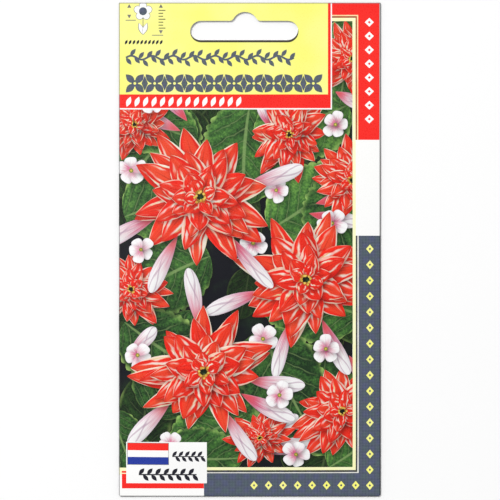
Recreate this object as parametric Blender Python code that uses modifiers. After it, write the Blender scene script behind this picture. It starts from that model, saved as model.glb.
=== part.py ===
# A flat paper seed packet, lying on its back with the printed front up.
# One die-cut sheet is folded into the whole packet: the front panel, the back panel folded round
# the left edge, a glue flap on the right edge and a glue flap on the bottom edge. A hang slot goes
# through both plies of the header, and loose seeds lie inside. Metres, +Z up, +Y to the header.
import math
import random

import bmesh
import bpy
from mathutils import Matrix, Vector

# The packet
WIDTH = 0.0795
HEIGHT = 0.150
PAPER = 0.00015

# Glued seams: a film of glue with a little clearance to the ply on each side of it
GLUE_FILM = 0.00004
GLUE_CLEARANCE = 0.00003
PLY_GAP = GLUE_FILM + 2 * GLUE_CLEARANCE

# Heights of the plies' middle surfaces where they are glued, from the outermost flap up
FLAP_Z = PAPER / 2
BACK_Z = FLAP_Z + PAPER + PLY_GAP
FRONT_Z = BACK_Z + PAPER + PLY_GAP

# Folds: middle radius of the left one, and of the wider ones that also wrap the back panel
LEFT_RADIUS = (FRONT_Z - BACK_Z) / 2
WRAP_RADIUS = (FRONT_Z - FLAP_Z) / 2

# Creases of the front panel, and its top edge
LEFT_CREASE = -WIDTH / 2 + LEFT_RADIUS + PAPER / 2
RIGHT_CREASE = WIDTH / 2 - WRAP_RADIUS - PAPER / 2
BOTTOM_CREASE = -HEIGHT / 2 + WRAP_RADIUS + PAPER / 2
TOP_EDGE = HEIGHT / 2

# Flaps and the back panel: their depth past the fold, and how their ends are cut back
SIDE_FLAP = 0.0095
SIDE_FLAP_MITRE = 1.2
BOTTOM_FLAP = 0.0145
BOTTOM_FLAP_TAPER = 0.35
BOTTOM_FLAP_MITRE = 1.0
BACK_RIGHT_CLEARANCE = 0.0008
BACK_BOTTOM_CLEARANCE = 0.0008

# The front panel's fullness over the seeds, dying out to the edges and to the closed header
BULGE = 0.0020
BULGE_SQUARENESS = 3
BULGE_RISE = 0.018
BULGE_FALL_FROM = -0.020
BULGE_FALL_TO = 0.052

# The back panel sinks from its seams to the surface that the packet lies on
SINK_MARGIN = 0.001
SINK_RUN = 0.011
SINK_TOP = 0.050

# The hang slot: a long slot with round ends and a half-round rise in the middle of its upper side
SLOT_CENTRE = Vector((-0.00165, 0.06623))
SLOT_LENGTH = 0.0329
SLOT_HEIGHT = 0.00655
RISE_CENTRE_X = -0.00145
RISE_HALF_WIDTH = 0.0038
RISE_HEIGHT = 0.0027
RISE_FILLET = 0.0014
BACK_SLOT_SHIFT = Vector((-0.00012, 0.0007))
CUT_DEPTH = 0.004

# Glue films: how far they stay inside the flaps' edges, and the band that closes the mouth
GLUE_MARGIN = 0.0015
TOP_GLUE_BOTTOM = 0.0535
TOP_GLUE_TOP = 0.0600
TOP_GLUE_SIDE_MARGIN = 0.003

# Seeds: egg-shaped nutlets scattered over the lower part of the back panel
SEED_COUNT = 10
SEED_LENGTH = 0.0030
SEED_WIDTH = 0.0020
SEED_THICKNESS = 0.0016
SEED_POINT = 0.22
SEED_GAP = 0.0002
SEED_SPACING = 0.0048
SEED_AREA_CENTRE = Vector((0.001, -0.040))
SEED_AREA_RADII = Vector((0.016, 0.012))
SEED_DRAW = 7

# Mesh fineness
FRONT_COLUMNS = 16
BACK_COLUMNS = 12
ROWS = 30
FOLD_STEPS = 4
SIDE_FLAP_COLUMNS = 2
BOTTOM_FLAP_ROWS = 2
ARC_STEPS = 10
WELD = 0.000001

# Finishes: base colour, roughness
PAPER_FINISH = ((0.93, 0.92, 0.90), 0.35)
GLUE_FINISH = ((0.86, 0.84, 0.74), 0.30)
SEED_FINISH = ((0.045, 0.026, 0.016), 0.55)


def clear_scene():
    for thing in list(bpy.data.objects):
        bpy.data.objects.remove(thing)


def new_collection(name):
    collection = bpy.data.collections.new(name)
    bpy.context.scene.collection.children.link(collection)
    return collection


def new_material(name, finish):
    colour, roughness = finish
    material = bpy.data.materials.new(name)
    material.use_nodes = True
    shader = material.node_tree.nodes["Principled BSDF"]
    shader.inputs["Base Color"].default_value = (*colour, 1.0)
    shader.inputs["Roughness"].default_value = roughness
    shader.inputs["Metallic"].default_value = 0.0
    material.diffuse_color = (*colour, 1.0)
    return material


def new_object(name, bm, collection, material=None):
    mesh = bpy.data.meshes.new(name)
    bm.to_mesh(mesh)
    bm.free()
    thing = bpy.data.objects.new(name, mesh)
    collection.objects.link(thing)
    if material:
        mesh.materials.append(material)
    return thing


def smooth(value):
    share = min(max(value, 0.0), 1.0)
    return share * share * (3 - 2 * share)


def blend(start, end, share):
    return start + (end - start) * share


def bulge(x, y):
    """Rise of the front panel above its glued height."""
    across = abs(2 * (x - LEFT_CREASE) / (RIGHT_CREASE - LEFT_CREASE) - 1)
    arch = max(1 - across**BULGE_SQUARENESS, 0)
    rise = smooth((y - BOTTOM_CREASE) / BULGE_RISE)
    fall = smooth((BULGE_FALL_TO - y) / (BULGE_FALL_TO - BULGE_FALL_FROM))
    return BULGE * arch * rise * fall


def sink(x, y):
    """Drop of the back panel from its glued height to the surface under the packet."""
    from_left = x - LEFT_CREASE
    from_right = RIGHT_CREASE - SIDE_FLAP - SINK_MARGIN - x
    from_bottom = y - BOTTOM_CREASE - BOTTOM_FLAP - SINK_MARGIN
    from_top = SINK_TOP - y
    shares = [smooth(run / SINK_RUN) for run in (from_left, from_right, from_bottom, from_top)]
    return (BACK_Z - FLAP_Z) * math.prod(shares)


def fold_under(radius, distance):
    """Where a point lands that is this far past a crease: its reach past the crease, and its height."""
    turn = min(distance / radius, math.pi)
    run_back = max(distance - math.pi * radius, 0)
    return radius * math.sin(turn) - run_back, FRONT_Z - radius * (1 - math.cos(turn))


def front_panel(across, up):
    x = blend(LEFT_CREASE, RIGHT_CREASE, across)
    y = blend(BOTTOM_CREASE, TOP_EDGE, up)
    return x, y, FRONT_Z + bulge(x, y)


def past_left_crease(distance, up):
    """The fold on the left, then the back panel, whose lower edge is cut clear of the bottom fold."""
    cut_back = min(BACK_BOTTOM_CLEARANCE, distance)
    reach, z = fold_under(LEFT_RADIUS, distance)
    x = LEFT_CREASE - reach
    y = blend(BOTTOM_CREASE + cut_back, TOP_EDGE, up)
    return x, y, z - sink(x, y)


def past_right_crease(distance, up):
    """The fold on the right, then the side flap, mitred at its lower end."""
    reach, z = fold_under(WRAP_RADIUS, distance)
    y = blend(BOTTOM_CREASE + SIDE_FLAP_MITRE * distance, TOP_EDGE, up)
    return RIGHT_CREASE + reach, y, z


def past_bottom_crease(distance, across):
    """The fold at the bottom, then the bottom flap, tapered on the left and mitred on the right."""
    reach, z = fold_under(WRAP_RADIUS, distance)
    left = LEFT_CREASE + BOTTOM_FLAP_TAPER * distance
    right = RIGHT_CREASE - BOTTOM_FLAP_MITRE * distance
    return blend(left, right, across), BOTTOM_CREASE - reach, z


def add_panel(bm, columns, rows, place):
    """A flat grid laid out and folded: place gives the point at a share across and a share up."""
    grid = bmesh.ops.create_grid(bm, x_segments=columns, y_segments=rows, size=0.5)
    for vert in grid["verts"]:
        vert.co = place(vert.co.x + 0.5, vert.co.y + 0.5)


def folded_sheet():
    """The sheet's middle surface, folded, as one open mesh."""
    left_arc = math.pi * LEFT_RADIUS
    wrap_arc = math.pi * WRAP_RADIUS
    back_width = RIGHT_CREASE - BACK_RIGHT_CLEARANCE - LEFT_CREASE
    bm = bmesh.new()
    add_panel(bm, FRONT_COLUMNS, ROWS, front_panel)
    add_panel(bm, FOLD_STEPS, ROWS, lambda s, up: past_left_crease(left_arc * s, up))
    add_panel(bm, BACK_COLUMNS, ROWS, lambda s, up: past_left_crease(left_arc + back_width * s, up))
    add_panel(bm, FOLD_STEPS, ROWS, lambda s, up: past_right_crease(wrap_arc * s, up))
    add_panel(bm, SIDE_FLAP_COLUMNS, ROWS, lambda s, up: past_right_crease(wrap_arc + SIDE_FLAP * s, up))
    add_panel(bm, FRONT_COLUMNS, FOLD_STEPS, lambda across, s: past_bottom_crease(wrap_arc * s, across))
    add_panel(
        bm,
        FRONT_COLUMNS,
        BOTTOM_FLAP_ROWS,
        lambda across, s: past_bottom_crease(wrap_arc + BOTTOM_FLAP * s, across),
    )
    bmesh.ops.remove_doubles(bm, verts=bm.verts, dist=WELD)
    bmesh.ops.triangulate(bm, faces=bm.faces)
    bmesh.ops.recalc_face_normals(bm, faces=bm.faces)
    return bm


def arc(centre, radius, start, end):
    """Points along an arc, from one angle to the other."""
    angles = [blend(start, end, step / ARC_STEPS) for step in range(ARC_STEPS + 1)]
    return [centre + radius * Vector((math.cos(a), math.sin(a))) for a in angles]


def slot_outline():
    """The hang slot's outline, anticlockwise from the lower end of its right-hand round end."""
    end_radius = SLOT_HEIGHT / 2
    end_x = SLOT_LENGTH / 2 - end_radius
    shoulder = SLOT_CENTRE.y + end_radius
    rise_radius = (RISE_HALF_WIDTH**2 + RISE_HEIGHT**2) / (2 * RISE_HEIGHT)
    rise_centre = Vector((RISE_CENTRE_X, shoulder + RISE_HEIGHT - rise_radius))
    fillet_up = shoulder + RISE_FILLET - rise_centre.y
    fillet_out = math.sqrt((rise_radius + RISE_FILLET) ** 2 - fillet_up**2)
    slope = math.atan2(fillet_up, fillet_out)
    fillet_y = shoulder + RISE_FILLET
    right_fillet = Vector((RISE_CENTRE_X + fillet_out, fillet_y))
    left_fillet = Vector((RISE_CENTRE_X - fillet_out, fillet_y))
    quarter = math.pi / 2
    points = arc(SLOT_CENTRE + Vector((end_x, 0)), end_radius, -quarter, quarter)
    points += arc(right_fillet, RISE_FILLET, -quarter, slope - math.pi)
    points += arc(rise_centre, rise_radius, slope, math.pi - slope)[1:-1]
    points += arc(left_fillet, RISE_FILLET, -slope, -quarter)
    points += arc(SLOT_CENTRE - Vector((end_x, 0)), end_radius, quarter, 3 * quarter)
    return points


def slot_cutter(name, shift, low, high, collection):
    """A plug in the slot's shape, from one height to another, as a mesh."""
    curve = bpy.data.curves.new(name + "_outline", "CURVE")
    curve.dimensions = "2D"
    curve.fill_mode = "BOTH"
    curve.extrude = (high - low) / 2
    points = slot_outline()
    spline = curve.splines.new("POLY")
    spline.points.add(len(points) - 1)
    for place, point in zip(spline.points, points):
        place.co = (point.x + shift.x, point.y + shift.y, 0, 1)
    spline.use_cyclic_u = True
    outline = bpy.data.objects.new(name + "_outline", curve)
    outline.location.z = (low + high) / 2
    collection.objects.link(outline)
    bpy.context.view_layer.update()
    evaluated = outline.evaluated_get(bpy.context.evaluated_depsgraph_get())
    mesh = bpy.data.meshes.new_from_object(evaluated)
    bm = bmesh.new()
    bm.from_mesh(mesh)
    bmesh.ops.remove_doubles(bm, verts=bm.verts, dist=WELD)
    bmesh.ops.recalc_face_normals(bm, faces=bm.faces)
    bpy.data.meshes.remove(mesh)
    cutter = new_object(name, bm, collection)
    cutter.matrix_world = outline.matrix_world
    bpy.data.objects.remove(outline)
    cutter.hide_render = True
    cutter.display_type = "WIRE"
    return cutter


def add_cut(thing, cutter):
    cut = thing.modifiers.new("cut " + cutter.name, "BOOLEAN")
    cut.operation = "DIFFERENCE"
    cut.solver = "EXACT"
    cut.object = cutter


def make_sheet(parts, cutters):
    """The folded sheet with its thickness, and the hang slot cut through the front and the back ply."""
    sheet = new_object("packet_sheet", folded_sheet(), parts, new_material("packet_sheet", PAPER_FINISH))
    thickness = sheet.modifiers.new("paper", "SOLIDIFY")
    thickness.thickness = PAPER
    thickness.offset = 0
    thickness.use_even_offset = True
    between = (FRONT_Z + BACK_Z) / 2
    front = slot_cutter("front_slot_cutter", Vector((0, 0)), between, between + CUT_DEPTH, cutters)
    back = slot_cutter("back_slot_cutter", BACK_SLOT_SHIFT, between - CUT_DEPTH, between, cutters)
    add_cut(sheet, front)
    add_cut(sheet, back)
    return sheet


def make_glue_film(name, low, high, under_z, parts, material):
    """A thin film between two plies, from one corner to another, over the ply at under_z."""
    bm = bmesh.new()
    bmesh.ops.create_cube(bm, size=1)
    size = Vector((high.x - low.x, high.y - low.y, GLUE_FILM))
    bmesh.ops.scale(bm, vec=size, verts=bm.verts)
    film = new_object(name, bm, parts, material)
    film.location = (*((low + high) / 2), under_z + PAPER / 2 + PLY_GAP / 2)
    return film


def make_glue(parts):
    material = new_material("glue", GLUE_FINISH)
    flap_edge = RIGHT_CREASE - SIDE_FLAP
    side_low = Vector((flap_edge + GLUE_MARGIN, BOTTOM_CREASE + SIDE_FLAP * SIDE_FLAP_MITRE + GLUE_MARGIN))
    side_high = Vector((RIGHT_CREASE - GLUE_MARGIN, SINK_TOP))
    bottom_low = Vector((LEFT_CREASE + BOTTOM_FLAP * BOTTOM_FLAP_TAPER, BOTTOM_CREASE + 2 * GLUE_MARGIN))
    bottom_high = Vector((RIGHT_CREASE - BOTTOM_FLAP, BOTTOM_CREASE + BOTTOM_FLAP - GLUE_MARGIN))
    top_low = Vector((LEFT_CREASE + TOP_GLUE_SIDE_MARGIN, TOP_GLUE_BOTTOM))
    top_high = Vector((RIGHT_CREASE - TOP_GLUE_SIDE_MARGIN, TOP_GLUE_TOP))
    return [
        make_glue_film("side_seam_glue", side_low, side_high, FLAP_Z, parts, material),
        make_glue_film("bottom_flap_glue", bottom_low, bottom_high, FLAP_Z, parts, material.copy()),
        make_glue_film("top_seam_glue", top_low, top_high, BACK_Z, parts, material.copy()),
    ]


def seed_mesh():
    """One egg-shaped nutlet, a little pointed at the end that faces +X."""
    bm = bmesh.new()
    bmesh.ops.create_uvsphere(bm, u_segments=12, v_segments=8, radius=1, matrix=Matrix.Rotation(math.pi / 2, 4, "Y"))
    for vert in bm.verts:
        narrowing = 1 - SEED_POINT * vert.co.x
        vert.co.x *= SEED_LENGTH / 2
        vert.co.y *= SEED_WIDTH / 2 * narrowing
        vert.co.z *= SEED_THICKNESS / 2 * narrowing
    return bm


def seed_places():
    """Scattered spots at least one spacing apart, each with the way its seed points."""
    draw = random.Random(SEED_DRAW)
    places = []
    while len(places) < SEED_COUNT:
        angle = draw.uniform(0, math.tau)
        away = math.sqrt(draw.random())
        offset = Vector((math.cos(angle) * SEED_AREA_RADII.x, math.sin(angle) * SEED_AREA_RADII.y))
        spot = SEED_AREA_CENTRE + away * offset
        if all((spot - other).length > SEED_SPACING for other, _ in places):
            places.append((spot, draw.uniform(0, math.tau)))
    return places


def make_seeds(parts):
    seeds = []
    for number, (spot, heading) in enumerate(seed_places(), 1):
        name = f"seed_{number:02d}"
        seed = new_object(name, seed_mesh(), parts, new_material(name, SEED_FINISH))
        lowest = min(vert.co.z for vert in seed.data.vertices)
        seed.location = (spot.x, spot.y, PAPER + SEED_GAP - lowest)
        seed.rotation_euler.z = heading
        seed.data.shade_smooth()
        seeds.append(seed)
    return seeds


def main():
    clear_scene()
    parts = new_collection("seed_packet")
    cutters = new_collection("cutters")
    things = [make_sheet(parts, cutters), *make_glue(parts), *make_seeds(parts)]
    middle = bpy.data.objects.new("packet_frame", None)
    parts.objects.link(middle)
    for thing in things:
        thing.parent = middle
    bpy.context.view_layer.update()


main()
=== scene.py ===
import math
import random

import bpy
import numpy as np
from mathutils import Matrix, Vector
from mathutils.geometry import delaunay_2d_cdt


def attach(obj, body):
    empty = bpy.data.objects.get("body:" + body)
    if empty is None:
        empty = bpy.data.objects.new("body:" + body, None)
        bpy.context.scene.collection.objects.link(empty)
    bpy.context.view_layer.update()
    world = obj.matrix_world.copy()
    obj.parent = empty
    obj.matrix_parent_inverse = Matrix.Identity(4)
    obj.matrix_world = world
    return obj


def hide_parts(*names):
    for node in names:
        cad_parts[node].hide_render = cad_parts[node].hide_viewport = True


# A flat seed packet of coated paper. Lengths are in millimetres until a mesh is made.
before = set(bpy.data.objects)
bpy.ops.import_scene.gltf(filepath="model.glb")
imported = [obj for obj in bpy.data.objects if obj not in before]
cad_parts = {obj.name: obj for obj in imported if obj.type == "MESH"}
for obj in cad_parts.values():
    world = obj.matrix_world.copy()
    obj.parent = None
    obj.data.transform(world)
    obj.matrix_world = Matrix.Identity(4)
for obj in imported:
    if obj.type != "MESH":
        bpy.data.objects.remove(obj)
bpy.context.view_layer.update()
mm = 0.001
print("frame loaded")


# Camera, floor and light

studio = {
    "lens": 100.0,
    "sensor": 36.0,
    "pictureWidth": 151.84,  # millimetres across the picture, at the packet's front
    "cameraX": 0.07,
    "cameraY": -0.1,
    "frontHeight": 0.65,
    "floorSize": 6000.0,
    "floorDrop": 0.08,
    "zenith": 0.36,  # how bright the room is overhead, and how much more at the horizon
    "horizonGain": 0.62,
    "keyPlace": (-1215.0, 1215.0, 2360.0),
    "keySize": 900.0,
    "keyPower": 61.0,
}


def addObject(name, data):
    made = bpy.data.objects.new(name, data)
    bpy.context.scene.collection.objects.link(made)
    return made


def makeCamera():
    lens = bpy.data.cameras.new("photoCamera")
    lens.lens = studio["lens"]
    lens.sensor_width = studio["sensor"]
    away = studio["pictureWidth"] * studio["lens"] / studio["sensor"] + studio["frontHeight"]
    camera = addObject("photoCamera", lens)
    camera.location = Vector((studio["cameraX"], studio["cameraY"], away)) * mm
    bpy.context.scene.camera = camera


# Shader maths: a socket that can be used in sums, and the material it belongs to

class Wire:
    def __init__(self, paint, socket):
        self.paint = paint
        self.socket = socket

    def sum(self, operation, *values):
        return self.paint.node("ShaderNodeMath", {"operation": operation}, dict(enumerate(values)))

    def __add__(self, other):
        return self.sum("ADD", self, other)

    __radd__ = __add__

    def __sub__(self, other):
        return self.sum("SUBTRACT", self, other)

    def __rsub__(self, other):
        return self.sum("SUBTRACT", other, self)

    def __mul__(self, other):
        return self.sum("MULTIPLY", self, other)

    __rmul__ = __mul__

    def __truediv__(self, other):
        return self.sum("DIVIDE", self, other)

    def __rtruediv__(self, other):
        return self.sum("DIVIDE", other, self)

    def __pow__(self, other):
        return self.sum("POWER", self, other)

    def __abs__(self):
        return self.sum("ABSOLUTE", self)

    def atLeast(self, least):
        return self.sum("MAXIMUM", self, least)

    def atMost(self, most):
        return self.sum("MINIMUM", self, most)

    def sine(self):
        return self.sum("SINE", self)

    def ease(self, low, high):  # 0 below low, 1 above high, smooth between
        places = {"Value": self, "From Min": low, "From Max": high}
        return self.paint.node("ShaderNodeMapRange", {"interpolation_type": "SMOOTHSTEP"}, places)


class Paint:
    def __init__(self, tree, material=None):
        self.tree = tree
        self.material = material

    def node(self, kind, settings=None, inputs=None, output=0):
        made = self.tree.nodes.new(kind)
        for name, value in (settings or {}).items():
            setattr(made, name, value)
        for key, value in (inputs or {}).items():
            self.feed(made.inputs[key], value)
        return Wire(self, made.outputs[output])

    def feed(self, socket, value):
        if isinstance(value, Wire):
            self.tree.links.new(value.socket, socket)
        else:
            socket.default_value = value

    def set(self, **values):
        shader = self.tree.nodes["Principled BSDF"]
        for name, value in values.items():
            self.feed(shader.inputs[name.replace("_", " ")], value)

    def mix(self, share, under, over, way="MIX"):
        settings = {"data_type": "RGBA", "blend_type": way, "clamp_factor": True}
        return self.node("ShaderNodeMix", settings, {0: share, 6: under, 7: over}, 2)

    def noise(self, vector, scale, detail):
        places = {"Vector": vector, "Scale": scale, "Detail": detail}
        return self.node("ShaderNodeTexNoise", None, places)

    def cloud(self, scale, detail):
        return self.noise(self.place(), scale, detail)

    def bump(self, height, strength, distance):
        places = {"Height": height, "Strength": strength, "Distance": distance}
        self.set(Normal=self.node("ShaderNodeBump", None, places))

    def vector(self, x, y, z):
        return self.node("ShaderNodeCombineXYZ", None, {0: x, 1: y, 2: z})

    def parts(self, vector):
        split = self.node("ShaderNodeSeparateXYZ", None, {0: vector}).socket.node
        return [Wire(self, socket) for socket in split.outputs]

    def stored(self, name, output="Vector"):
        return self.node("ShaderNodeAttribute", {"attribute_name": name}, None, output)

    def place(self):  # the packet's own coordinates, in millimetres
        ours = self.node("ShaderNodeTexCoord", None, None, "Object")
        scale = {0: ours, 1: (1 / mm, 1 / mm, 1 / mm)}
        return self.node("ShaderNodeVectorMath", {"operation": "MULTIPLY"}, scale)


def newPaint(name):
    material = bpy.data.materials.new(name)
    material.use_nodes = True
    return Paint(material.node_tree, material)


def rgb(red, green, blue):  # screen values from 0 to 255, as Blender's linear colour
    shares = [value / 255 for value in (red, green, blue)]
    return (*[s / 12.92 if s <= 0.04045 else ((s + 0.055) / 1.055) ** 2.4 for s in shares], 1.0)


def makeLights():
    world = bpy.data.worlds.new("studio")
    bpy.context.scene.world = world
    world.use_nodes = True
    room = Paint(world.node_tree)
    up = room.parts(room.node("ShaderNodeTexCoord", output="Generated"))[2]
    low = 1 - up.atLeast(0.0)
    sky = world.node_tree.nodes["Background"]
    room.feed(sky.inputs["Color"], rgb(255, 255, 255))
    room.feed(sky.inputs["Strength"], studio["zenith"] + studio["horizonGain"] * low * low)
    key = bpy.data.lights.new("keyLight", "AREA")
    key.size = studio["keySize"] * mm
    key.energy = studio["keyPower"]
    lamp = addObject("keyLight", key)
    lamp.location = Vector(studio["keyPlace"]) * mm
    lamp.rotation_euler = (-lamp.location).to_track_quat("-Z", "Y").to_euler()
    bpy.context.scene.view_settings.view_transform = "Standard"
    bpy.context.scene.view_settings.look = "None"


# The coated paper under every ink

paperLook = {
    "roughness": 0.28,
    "roughnessSpread": 0.08,
    "gloss": 0.35,
    "fibre": (2.2, 4.0),  # a noise's scale and detail
    "mottle": (0.35, 3.0),
    "mottleDepth": 0.02,
    "bump": (0.05, 0.00002),  # strength and distance
    # painted shade: the grey mixed into the ink along the left fold and the top edge, and how strongly
    "edgeShadeLine": rgb(122, 120, 122),
    "paintedEdgeShade": 0.9,
}


def coat(paint, colour):
    look = paperLook
    # painted shade: a dark grey line mixed in along the left fold and the top edge
    colour = paint.mix(paint.stored("paintedEdgeShade", "Fac") * look["paintedEdgeShade"], colour, look["edgeShadeLine"])
    fibre = paint.cloud(*look["fibre"])
    tone = (1 - look["mottleDepth"] * paint.cloud(*look["mottle"])) * paint.stored("shade", "Fac")
    paint.set(Base_Color=paint.mix(1.0, colour, paint.vector(tone, tone, tone), "MULTIPLY"))
    paint.set(Roughness=look["roughness"] + look["roughnessSpread"] * (fibre - 0.5))
    paint.set(Specular_IOR_Level=look["gloss"])
    paint.bump(fibre, *look["bump"])
    return paint.material


def flatInk(name, colour, deeper, scale=0.06, detail=2.0, low=0.35, high=0.7):
    paint = newPaint(name)
    return coat(paint, paint.mix(paint.cloud(scale, detail).ease(low, high), colour, deeper))


screen = {
    "pitch": 0.92,
    "depth": 0.36,
    "grain": (1.1, 3.0),
    "grainDepth": 0.5,
    "beat": 4.6,  # how many dots the slow change of tint takes
    "drift": (0.3, 2.0),
    "cool": rgb(96, 96, 168),
    "warm": rgb(88, 124, 96),
    "tint": 0.13,
}


def slateInk(name, light, dark):  # slate with the faint dots and tints of its printing screen
    paint = newPaint(name)
    x, y, _ = paint.parts(paint.place())
    turn = math.tau / screen["pitch"]
    dots = ((x * turn).sine() + (y * turn).sine()) * 0.25 + 0.5
    share = dots * screen["depth"] + paint.cloud(*screen["grain"]) * screen["grainDepth"]
    tone = paint.mix(share, light, dark)
    slow = turn / screen["beat"]
    beat = (x * slow).sine() * (y * slow).sine() + paint.cloud(*screen["drift"]) * 2 - 1
    for side, tint in ((beat, "cool"), (0 - beat, "warm")):
        tone = paint.mix(side.ease(0.0, 0.8) * screen["tint"], tone, screen[tint])
    return coat(paint, tone)


# The picture's inks. A motif's stored place is its share of the length, its share of the half
# width, and its own random number, so streaks and veins follow each petal and leaf.

forms = {  # how each kind of motif widens from its foot, and narrows to its tip
    "petal": (0.62, 0.85),
    "leaf": (0.5, 0.62),
    "lobe": (0.75, 0.35),
    "bud": (0.95, 0.52),
}


def formWidth(kind, along):  # half width at a share of the length, 1 at the widest
    rise, fall = forms[kind]
    scale = (rise + fall) ** (rise + fall) / (rise**rise * fall**fall)
    return scale * along**rise * (1 - along) ** fall


def motifPaint(kind):
    paint = newPaint(kind + "Ink")
    along, across, draw = paint.parts(paint.stored("motif"))
    along = along.atLeast(0.001).atMost(0.999)
    side = across / formWidth(kind, along).atLeast(0.04)

    def grain(stretch, scale, detail):  # noise drawn out along each motif
        parts = [part * by for part, by in zip((along, side, draw), stretch)]
        return paint.noise(paint.vector(*parts), scale, detail)

    return paint, along, side, abs(side), draw, grain


petalLook = {
    "scarlet": rgb(255, 44, 24),
    "deep": rgb(222, 20, 16),
    "coral": rgb(255, 92, 56),
    "shadow": rgb(150, 12, 16),
    "cream": rgb(255, 246, 228),
    "butter": rgb(250, 214, 120),
    "blush": rgb(255, 238, 230),
    "ochre": rgb(182, 160, 60),
    "wobble": ((2.4, 0.9, 41), 1.7, 3.0),  # a noise's stretch along, across and by petal; scale; detail
    "hair": ((0.9, 6, 17), 2.6, 3.0),
    "patch": ((1.3, 0.7, 67), 1.9, 1.0),
    "glow": 0.7,
    "footShade": 0.5,
    "tipShade": 0.35,
    "footOchre": 0.85,
    "rib": 0.4,
}


def petalInk():
    paint, along, side, away, draw, grain = motifPaint("petal")
    look = petalLook
    wobble, hair, patch = grain(*look["wobble"]) - 0.5, grain(*look["hair"]), grain(*look["patch"])
    tint = paint.mix(hair.ease(0.4, 0.7), look["scarlet"], look["deep"])
    glow = (along + wobble * 0.4).ease(0.2, 0.6) * (1 - (away - 0.3 + wobble).ease(0.0, 0.5))
    tint = paint.mix(glow * draw * look["glow"], tint, look["coral"])
    depth = (1 - along.ease(0.0, 0.3)) * look["footShade"]
    depth = depth + (along + wobble * 0.3).ease(0.86, 1.0) * look["tipShade"]
    tint = paint.mix(depth, tint, look["shadow"])
    # the foot turns ochre, further up on the outer petals
    foot = 1 - (along + wobble * 0.6 + away * 0.1).ease(0.05, 0.12 + draw * 0.45)
    tint = paint.mix(foot * look["footOchre"], tint, look["ochre"])
    # a pale lane down each side
    lane = 1 - abs(away - 0.45 + wobble * 0.7).ease(0.02, 0.18)
    lane = lane * along.ease(0.08, 0.26) * (1 - along.ease(0.62, 0.97)) * patch.ease(0.4, 0.56)
    tint = paint.mix(lane, tint, paint.mix(hair.ease(0.5, 0.66), look["blush"], look["butter"]))
    rib = (1 - away.ease(0.02, 0.08)) * (1 - along.ease(0.5, 0.95))
    tint = paint.mix(rib * look["rib"], tint, look["shadow"])
    margin = (away + (patch - 0.5) * 1.1 + wobble * 0.4).ease(0.84, 0.95) * along.ease(0.02, 0.2)
    rim = paint.mix(hair.ease(0.5, 0.65) * 0.6, look["cream"], look["butter"])
    return coat(paint, paint.mix(margin * (0.45 + 0.55 * draw), tint, rim))


leafLook = {
    "dark": rgb(26, 56, 28),
    "mid": rgb(70, 120, 54),
    "light": rgb(132, 186, 84),
    "rim": rgb(176, 212, 116),
    "vein": rgb(152, 186, 114),
    "seam": rgb(24, 50, 26),
    "veins": 7.0,
    "slant": 2.4,
    "wobble": ((3, 1.6, 29), 1.8, 4.0),
    "grain": (1.6, 5.0),
    "cloud": (0.22, 2.0),
    "lightShare": 0.85,
    "crease": 0.45,
    "ridge": 0.35,
    "midrib": 0.6,
    "brim": 0.8,
}


def leafInk():
    paint, along, side, away, draw, grain = motifPaint("leaf")
    look = leafLook
    wobble = grain(*look["wobble"]) - 0.5
    turn = (along * look["veins"] - away * look["slant"] + wobble * 0.8 + draw) * math.tau
    wave = turn.sine() * 0.5 + 0.5
    fine, cloud = paint.cloud(*look["grain"]), paint.cloud(*look["cloud"])
    tone = 0.22 + cloud * 0.5 + draw * 0.22 + wobble * 0.5 + (fine - 0.5) * 0.7 - wave * 0.14
    tint = paint.mix(tone.ease(0.25, 0.7), look["dark"], look["mid"])
    tint = paint.mix((tone + away * 0.12).ease(0.62, 1.0) * look["lightShare"], tint, look["light"])
    crease = wave.ease(0.86, 0.99) * (1 - (away - 0.2 + wobble).ease(0.4, 0.8))
    tint = paint.mix(crease * look["crease"], tint, look["seam"])
    ridge = wave.ease(0.95, 1.0) * (1 - away.ease(0.5, 0.95))
    tint = paint.mix(ridge * look["ridge"], tint, look["vein"])
    tint = paint.mix((1 - away.ease(0.02, 0.055)) * look["midrib"], tint, look["vein"])
    brim = (away + wobble * 0.16).ease(0.84, 0.97) * (0.25 + 0.75 * cloud.ease(0.4, 0.6))
    return coat(paint, paint.mix(brim * look["brim"], tint, look["rim"]))


floretLook = {
    "white": rgb(255, 254, 254),
    "pink": rgb(216, 78, 130),
    "mauve": rgb(206, 180, 206),
    "coral": rgb(232, 84, 84),
    "seam": rgb(186, 150, 176),
    "lobeWobble": ((3, 2, 53), 1.5, 3.0),
    "budWobble": ((2, 2, 53), 1.5, 3.0),
    "hair": ((0.8, 7, 13), 2.2, 2.0),
    "seams": ((2.3, 1.5), (-1.5, -0.75)),  # the slant and start of a furled bud's seams
    "seamDepth": 0.6,
}


def lobeInk():
    paint, along, side, away, draw, grain = motifPaint("lobe")
    look = floretLook
    wobble, hair = grain(*look["lobeWobble"]) - 0.5, grain(*look["hair"])
    flush = 1 - (along + wobble * 0.3 + (hair - 0.5) * 0.7).ease(0.12, 0.75)
    tint = paint.mix(flush * (0.5 + 0.5 * draw), look["white"], look["pink"])
    fold = away.ease(0.62, 1.0) * 0.3 + (1 - away.ease(0.02, 0.14)) * 0.12
    return coat(paint, paint.mix(fold, tint, look["mauve"]))


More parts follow.
